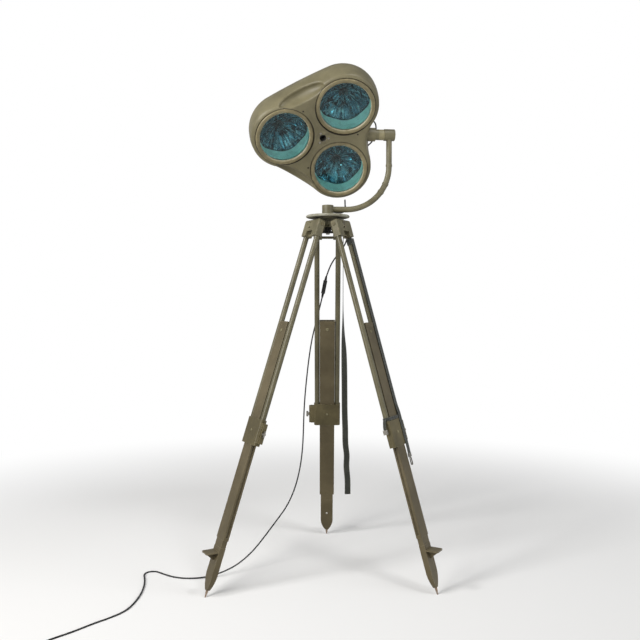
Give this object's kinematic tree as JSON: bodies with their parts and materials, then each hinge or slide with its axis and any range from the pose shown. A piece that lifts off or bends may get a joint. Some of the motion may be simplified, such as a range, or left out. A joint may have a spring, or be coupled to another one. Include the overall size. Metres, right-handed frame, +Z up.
{
  "type": "surgical floor lamp",
  "caption": "Operating-room floor lamp: a trefoil head with blue-glass reflector lamps on a side-arm yoke, on a spiked surveyor-style tripod with sliding legs and a trailing lead.",
  "frame": {"origin": "on the floor, under the yoke's swivel axis", "axes": "+Z up along the swivel axis, +Y towards the back leg, +X to the side of the yoke's arm at rest"},
  "size_m": [1.4353, 1.3356, 2.109],
  "materials": {
    "olive_paint": "satin olive drab enamel, chipped at the edges",
    "housing_paint": "satin khaki olive enamel",
    "rail_paint": "olive enamel, rubbed",
    "bar_paint": "dull brown-olive enamel",
    "shoe_paint": "olive enamel, scuffed",
    "worn_steel": "worn",
    "dark_metal": "blackened",
    "blue_glass": "clear blue-tinted",
    "reflector": "polished",
    "bulb_metal": "clear, with a dark collar",
    "holder_plastic": "matte",
    "cord_rubber": "matte black",
    "clip_metal": "olive enamel",
    "black_plastic": "semi-gloss black",
    "rocker_plastic": "gloss black",
    "pin_brass": "nickelled",
    "webbing": "woven dark olive webbing"
  },
  "bodies": {
    "tripod_head": {"top_plate": "olive_paint", "head_casting": "olive_paint", "swivel_spindle": "worn_steel", "hinge_bolts": "worn_steel", "hanging_strap": "webbing", "supply_cord_upper": "cord_rubber", "supply_cord_lower": "cord_rubber", "switch_body": "black_plastic", "cord_coil": "cord_rubber", "coil_tie": "black_plastic", "plug_body": "black_plastic", "plug_pins": "pin_brass"},
    "clamp_knob": {"clamp_knob": "dark_metal"},
    "switch_rocker": {"switch_rocker": "rocker_plastic"},
    "left_upper_leg": {"left_leg_bracket": "olive_paint", "left_leg_rails": "rail_paint", "left_leg_collar": "olive_paint"},
    "left_clamp": {"left_clamp_screw": "worn_steel"},
    "left_lower_leg": {"left_lower_bar": "bar_paint", "left_foot_shoe": "shoe_paint", "left_foot_spike": "worn_steel"},
    "right_upper_leg": {"right_leg_bracket": "olive_paint", "right_leg_rails": "rail_paint", "right_leg_collar": "olive_paint", "right_leg_straps": "webbing", "strap_hardware": "worn_steel"},
    "right_clamp": {"right_clamp_screw": "worn_steel"},
    "right_lower_leg": {"right_lower_bar": "bar_paint", "right_foot_shoe": "shoe_paint", "right_foot_spike": "worn_steel"},
    "back_upper_leg": {"back_leg_bracket": "olive_paint", "back_leg_rails": "rail_paint", "back_leg_collar": "olive_paint"},
    "back_clamp": {"back_clamp_screw": "worn_steel"},
    "back_lower_leg": {"back_lower_bar": "bar_paint", "back_foot_shoe": "shoe_paint", "back_foot_spike": "worn_steel"},
    "yoke": {"yoke_tube": "olive_paint", "lower_hub": "olive_paint", "upper_sleeve": "olive_paint", "yoke_cord": "cord_rubber", "yoke_cord_clips": "clip_metal"},
    "lamp_head": {"front_housing": "housing_paint", "rear_housing": "housing_paint", "pivot_stub": "olive_paint", "stub_lead": "cord_rubber", "handle_socket": "dark_metal", "handle_socket_screws": "worn_steel", "bulbs": "bulb_metal", "bulb_holders": "holder_plastic", "left_bezel": "housing_paint", "left_lens": "blue_glass", "left_reflector": "reflector", "top_bezel": "housing_paint", "top_lens": "blue_glass", "top_reflector": "reflector", "bottom_bezel": "housing_paint", "bottom_lens": "blue_glass", "bottom_reflector": "reflector"}
  },
  "joints": [
    {"name": "left_leg_fold", "type": "hinge", "parent": "tripod_head", "child": "left_upper_leg", "pos_m": [-0.05196, -0.03, 1.462], "axis": [0.5, -0.866, 0], "range_deg": [0, 18.56]},
    {"name": "left_leg_slide", "type": "slide", "parent": "left_upper_leg", "child": "left_lower_leg", "axis": [0.2757, 0.1592, 0.948], "range_m": [-0.33, 0.33]},
    {"name": "left_clamp_turn", "type": "hinge", "parent": "left_upper_leg", "child": "left_clamp", "pos_m": [-0.24973, -0.2481, 0.62731], "axis": [0.5, -0.866, 0], "range_deg": [0, 270]},
    {"name": "right_leg_fold", "type": "hinge", "parent": "tripod_head", "child": "right_upper_leg", "pos_m": [0.05196, -0.03, 1.462], "axis": [0.5, 0.866, 0], "range_deg": [0, 16.5]},
    {"name": "right_leg_slide", "type": "slide", "parent": "right_upper_leg", "child": "right_lower_leg", "axis": [-0.2459, 0.142, 0.9588], "range_m": [-0.33, 0.33]},
    {"name": "right_clamp_turn", "type": "hinge", "parent": "right_upper_leg", "child": "right_clamp", "pos_m": [0.3135, -0.07708, 0.61775], "axis": [0.5, 0.866, 0], "range_deg": [0, 270]},
    {"name": "back_leg_fold", "type": "hinge", "parent": "tripod_head", "child": "back_upper_leg", "pos_m": [0, 0.06, 1.462], "axis": [-1, 0, 0], "range_deg": [0, 17.54]},
    {"name": "back_leg_slide", "type": "slide", "parent": "back_upper_leg", "child": "back_lower_leg", "axis": [0, -0.3013, 0.9535], "range_m": [-0.33, 0.33]},
    {"name": "back_clamp_turn", "type": "hinge", "parent": "back_upper_leg", "child": "back_clamp", "pos_m": [-0.09, 0.32531, 0.62242], "axis": [-1, 0, 0], "range_deg": [0, 270]},
    {"name": "clamp_knob_turn", "type": "hinge", "parent": "tripod_head", "child": "clamp_knob", "pos_m": [0, 0, 1.442], "axis": [0, 0, 1], "range_deg": [0, 350]},
    {"name": "yoke_swivel", "type": "hinge", "parent": "tripod_head", "child": "yoke", "pos_m": [0, 0, 1.52], "axis": [0, 0, 1], "range_deg": [-170, 170]},
    {"name": "lamp_tilt", "type": "hinge", "parent": "yoke", "child": "lamp_head", "pos_m": [0.25846, 0.03632, 1.845], "axis": [0.9903, 0.1392, 0], "range_deg": [-46.5, 53.5]},
    {"name": "rocker_tilt", "type": "hinge", "parent": "tripod_head", "child": "switch_rocker", "pos_m": [-0.01432, 0.16476, 1.20585], "axis": [0.9812, 0, -0.193], "range_deg": [-12, 0]}
  ]
}
